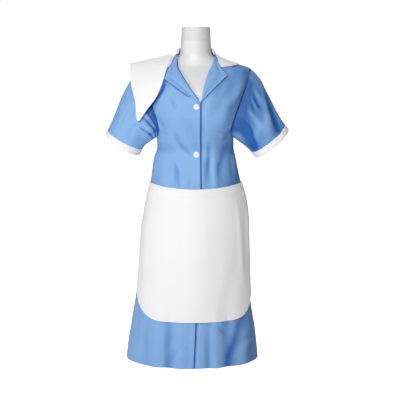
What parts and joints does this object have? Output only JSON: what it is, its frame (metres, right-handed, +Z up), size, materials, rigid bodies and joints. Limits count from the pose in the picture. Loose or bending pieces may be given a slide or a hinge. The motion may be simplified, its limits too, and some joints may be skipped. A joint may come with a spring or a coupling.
{
  "type": "maid uniform on a limbless dress form",
  "caption": "Short-sleeved button-front dress with lapels, white collar and cuffs, half apron and shoulder scarf, worn by a plain dress form on a round base.",
  "frame": {"origin": "middle of the underside of the form's round base, on the floor", "axes": "+Z up, -Y towards the front of the dress, +X towards the wearer's left"},
  "size_m": [0.6371, 0.3398, 1.169],
  "materials": {
    "dress": "matt light blue poplin",
    "white_cloth": "matt white poplin",
    "button": "gloss white",
    "form": "smooth white",
    "form_cap": "smooth light grey",
    "stand": "satin"
  },
  "bodies": {
    "root": {"form_torso": "form", "form_neck_cap": "form_cap", "form_pole": "stand", "form_base": "stand", "dress_front_right": "dress", "dress_front_left": "dress", "dress_back_right": "dress", "dress_back_left": "dress", "sleeve_right": "dress", "sleeve_left": "dress", "cuff_right": "white_cloth", "cuff_left": "white_cloth", "collar": "white_cloth", "lapel_right": "dress", "lapel_left": "dress", "apron_panel": "white_cloth", "apron_waistband": "white_cloth", "apron_tie_right": "white_cloth", "apron_tie_left": "white_cloth", "apron_bow_knot": "white_cloth", "apron_bow_loop_right": "white_cloth", "apron_bow_loop_left": "white_cloth", "apron_tail_right": "white_cloth", "apron_tail_left": "white_cloth", "scarf": "white_cloth", "button_1": "button", "button_2": "button", "button_3": "button", "button_4": "button", "button_5": "button"}
  },
  "joints": []
}
